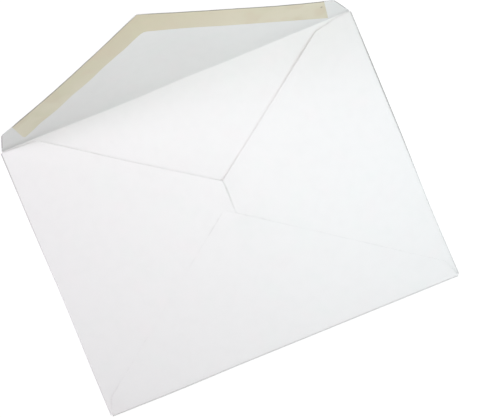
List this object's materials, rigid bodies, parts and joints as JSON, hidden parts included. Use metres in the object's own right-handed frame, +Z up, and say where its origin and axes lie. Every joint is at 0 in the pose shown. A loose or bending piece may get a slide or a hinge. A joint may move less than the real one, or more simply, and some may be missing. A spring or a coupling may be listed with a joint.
{
  "type": "paper envelope",
  "caption": "White paper envelope with diagonal seams, lying back side up with its deep pointed gummed flap raised.",
  "frame": {"origin": "centre of the address face, the flat outer face of the front panel that the envelope lies on", "axes": "+Z up out of the back of the envelope, +X along the crease of the seal flap to the right, +Y towards the seal flap"},
  "size_m": [0.146, 0.1435, 0.0526],
  "materials": {
    "white_paper": "matte",
    "dried_gum": "satin"
  },
  "bodies": {
    "root": {"folded_sheet": "white_paper", "seal_gum": "dried_gum", "left_seam_gum": "dried_gum", "right_seam_gum": "dried_gum"}
  },
  "joints": []
}
